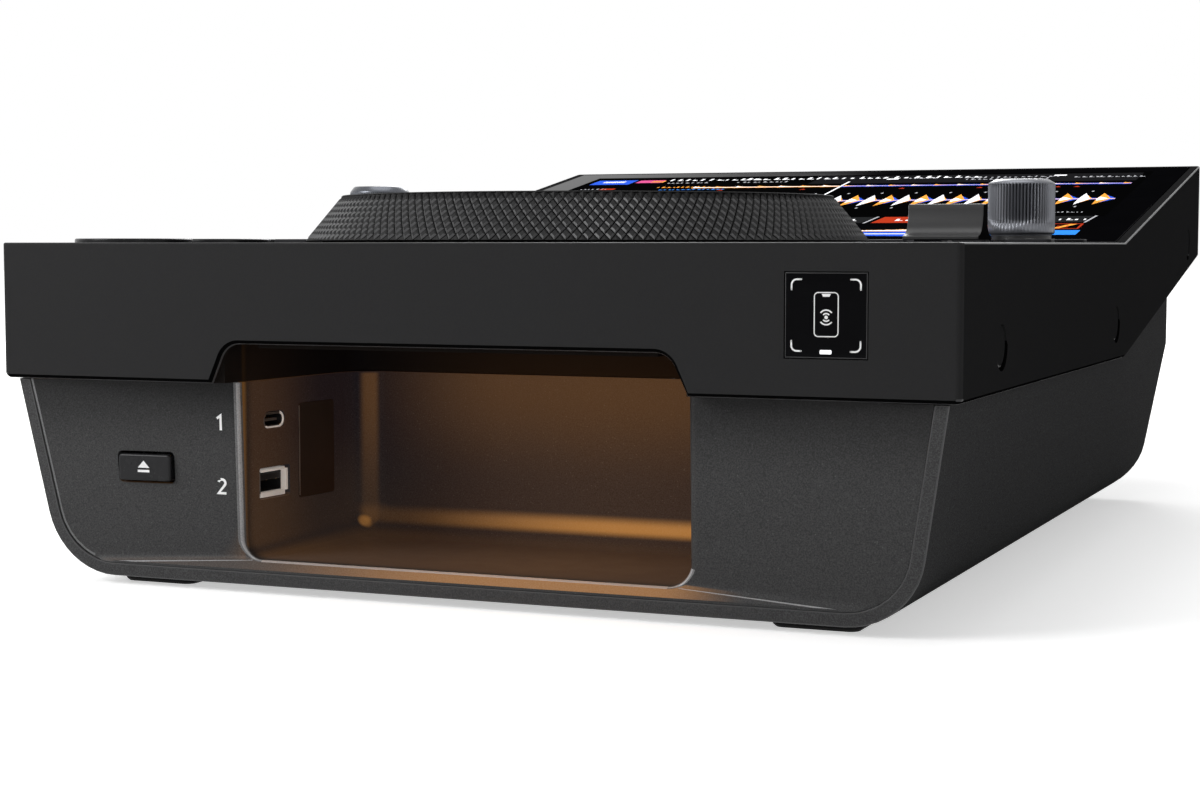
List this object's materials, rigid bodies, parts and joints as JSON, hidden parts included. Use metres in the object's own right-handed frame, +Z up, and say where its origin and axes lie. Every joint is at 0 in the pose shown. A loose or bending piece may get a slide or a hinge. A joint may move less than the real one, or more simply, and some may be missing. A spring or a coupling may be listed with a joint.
{
  "type": "tabletop dj cd player",
  "caption": "Tabletop media player for a disc jockey's desk with a knurled jog wheel, tempo fader, key pads, a sloping touch display and a lit open bay for plug-in drives.",
  "frame": {"origin": "centre of the bounding box in plan, at the undersides of the feet", "axes": "+X to the player's right seen from the front, +Y from the front edge to the back, +Z up"},
  "size_m": [0.329, 0.489, 0.1528],
  "materials": {
    "case": "satin near-black",
    "shell": "fine speckled charcoal paint",
    "front": "fine speckled charcoal paint",
    "light": "frosted amber diffuser",
    "metal": "plain steel",
    "key": "satin black",
    "soft_key": "matte dark grey",
    "glass": "polished black glass",
    "screen": "lit display",
    "jog": "diamond-knurled dark grey",
    "jog_plate": "spun dark anodised",
    "knob": "dark metallic, ribbed",
    "socket": "moulded black",
    "board": "green circuit board",
    "rear": "satin near-black",
    "rubber": "matte black"
  },
  "bodies": {
    "chassis": {"top_case": "case", "lower_shell": "shell", "front_fascia": "front", "bay_light_bar": "light", "small_media_socket": "metal", "large_media_socket": "metal", "tap_window": "glass", "display_glass": "glass", "display_panel": "screen", "jog_base": "socket", "key_board": "board", "tempo_rail": "socket", "browse_encoder": "socket", "speed_pot": "socket", "lever_bracket": "socket", "main_board": "board", "power_supply": "socket", "rear_panel": "rear", "power_inlet": "socket", "audio_jacks": "metal", "network_socket": "socket", "left_plug_1": "key", "left_plug_2": "key", "left_plug_3": "key", "right_plug_1": "key", "right_plug_2": "key", "right_plug_3": "key", "foot_front_left": "rubber", "foot_front_right": "rubber", "foot_back_left": "rubber", "foot_back_right": "rubber"},
    "jog_wheel": {"jog_ring": "jog", "jog_top_plate": "jog_plate", "jog_window": "glass", "jog_shaft": "metal"},
    "browse_knob": {"browse_knob": "knob"},
    "speed_dial": {"speed_dial": "knob"},
    "tempo_cap": {"tempo_cap": "key"},
    "direction_lever": {"direction_lever": "key"},
    "power_switch": {"power_switch": "key"},
    "eject_key": {"eject_key": "key"},
    "play_button": {"play_button": "key"},
    "cue_button": {"cue_button": "key"},
    "track_back_key": {"track_back_key": "soft_key"},
    "track_next_key": {"track_next_key": "soft_key"},
    "search_back_key": {"search_back_key": "soft_key"},
    "search_next_key": {"search_next_key": "soft_key"},
    "loop_in_key": {"loop_in_key": "soft_key"},
    "loop_out_key": {"loop_out_key": "soft_key"},
    "back_key": {"back_key": "soft_key"},
    "tempo_range_key": {"tempo_range_key": "soft_key"},
    "tempo_reset_key": {"tempo_reset_key": "soft_key"},
    "pad_1": {"pad_1": "soft_key"},
    "pad_2": {"pad_2": "soft_key"},
    "pad_3": {"pad_3": "soft_key"},
    "pad_4": {"pad_4": "soft_key"},
    "pad_5": {"pad_5": "soft_key"},
    "pad_6": {"pad_6": "soft_key"},
    "pad_7": {"pad_7": "soft_key"},
    "pad_8": {"pad_8": "soft_key"}
  },
  "joints": [
    {"name": "jog_spin", "type": "hinge", "parent": "chassis", "child": "jog_wheel", "pos_m": [-0.0081, -0.1071, 0.1154], "axis": [0, 0, 1], "continuous": true},
    {"name": "browse_turn", "type": "hinge", "parent": "chassis", "child": "browse_knob", "pos_m": [0.1322, -0.0145, 0.1154], "axis": [0, 0, 1], "continuous": true},
    {"name": "speed_turn", "type": "hinge", "parent": "chassis", "child": "speed_dial", "pos_m": [-0.1372, -0.0295, 0.1154], "axis": [0, 0, 1], "range_deg": [-140, 140]},
    {"name": "tempo_slide", "type": "slide", "parent": "chassis", "child": "tempo_cap", "axis": [0, 1, 0], "range_m": [-0.05, 0.05]},
    {"name": "direction_tilt", "type": "hinge", "parent": "chassis", "child": "direction_lever", "pos_m": [-0.134, -0.0685, 0.1064], "axis": [1, 0, 0], "range_deg": [-20, 20]},
    {"name": "power_rock", "type": "hinge", "parent": "chassis", "child": "power_switch", "pos_m": [-0.058, 0.16351, 0.04505], "axis": [1, 0, 0], "range_deg": [-9, 9]},
    {"name": "eject_press", "type": "slide", "parent": "chassis", "child": "eject_key", "axis": [-0.0754, 0.9972, 0], "range_m": [0, 0.0015], "stiffness_N_per_m": 400, "springref_m": -0.001},
    {"name": "play_button_press", "type": "slide", "parent": "chassis", "child": "play_button", "axis": [0, 0, -1], "range_m": [0, 0.0009], "stiffness_N_per_m": 400, "springref_m": -0.001},
    {"name": "cue_button_press", "type": "slide", "parent": "chassis", "child": "cue_button", "axis": [0, 0, -1], "range_m": [0, 0.0009], "stiffness_N_per_m": 400, "springref_m": -0.001},
    {"name": "track_back_key_press", "type": "slide", "parent": "chassis", "child": "track_back_key", "axis": [0, 0, -1], "range_m": [0, 0.0009], "stiffness_N_per_m": 400, "springref_m": -0.001},
    {"name": "track_next_key_press", "type": "slide", "parent": "chassis", "child": "track_next_key", "axis": [0, 0, -1], "range_m": [0, 0.0009], "stiffness_N_per_m": 400, "springref_m": -0.001},
    {"name": "search_back_key_press", "type": "slide", "parent": "chassis", "child": "search_back_key", "axis": [0, 0, -1], "range_m": [0, 0.0009], "stiffness_N_per_m": 400, "springref_m": -0.001},
    {"name": "search_next_key_press", "type": "slide", "parent": "chassis", "child": "search_next_key", "axis": [0, 0, -1], "range_m": [0, 0.0009], "stiffness_N_per_m": 400, "springref_m": -0.001},
    {"name": "loop_in_key_press", "type": "slide", "parent": "chassis", "child": "loop_in_key", "axis": [0, 0, -1], "range_m": [0, 0.0009], "stiffness_N_per_m": 400, "springref_m": -0.001},
    {"name": "loop_out_key_press", "type": "slide", "parent": "chassis", "child": "loop_out_key", "axis": [0, 0, -1], "range_m": [0, 0.0009], "stiffness_N_per_m": 400, "springref_m": -0.001},
    {"name": "back_key_press", "type": "slide", "parent": "chassis", "child": "back_key", "axis": [0, 0, -1], "range_m": [0, 0.0009], "stiffness_N_per_m": 400, "springref_m": -0.001},
    {"name": "tempo_range_key_press", "type": "slide", "parent": "chassis", "child": "tempo_range_key", "axis": [0, 0, -1], "range_m": [0, 0.0009], "stiffness_N_per_m": 400, "springref_m": -0.001},
    {"name": "tempo_reset_key_press", "type": "slide", "parent": "chassis", "child": "tempo_reset_key", "axis": [0, 0, -1], "range_m": [0, 0.0009], "stiffness_N_per_m": 400, "springref_m": -0.001},
    {"name": "pad_1_press", "type": "slide", "parent": "chassis", "child": "pad_1", "axis": [0, 0, -1], "range_m": [0, 0.0009], "stiffness_N_per_m": 400, "springref_m": -0.001},
    {"name": "pad_2_press", "type": "slide", "parent": "chassis", "child": "pad_2", "axis": [0, 0, -1], "range_m": [0, 0.0009], "stiffness_N_per_m": 400, "springref_m": -0.001},
    {"name": "pad_3_press", "type": "slide", "parent": "chassis", "child": "pad_3", "axis": [0, 0, -1], "range_m": [0, 0.0009], "stiffness_N_per_m": 400, "springref_m": -0.001},
    {"name": "pad_4_press", "type": "slide", "parent": "chassis", "child": "pad_4", "axis": [0, 0, -1], "range_m": [0, 0.0009], "stiffness_N_per_m": 400, "springref_m": -0.001},
    {"name": "pad_5_press", "type": "slide", "parent": "chassis", "child": "pad_5", "axis": [0, 0, -1], "range_m": [0, 0.0009], "stiffness_N_per_m": 400, "springref_m": -0.001},
    {"name": "pad_6_press", "type": "slide", "parent": "chassis", "child": "pad_6", "axis": [0, 0, -1], "range_m": [0, 0.0009], "stiffness_N_per_m": 400, "springref_m": -0.001},
    {"name": "pad_7_press", "type": "slide", "parent": "chassis", "child": "pad_7", "axis": [0, 0, -1], "range_m": [0, 0.0009], "stiffness_N_per_m": 400, "springref_m": -0.001},
    {"name": "pad_8_press", "type": "slide", "parent": "chassis", "child": "pad_8", "axis": [0, 0, -1], "range_m": [0, 0.0009], "stiffness_N_per_m": 400, "springref_m": -0.001}
  ]
}
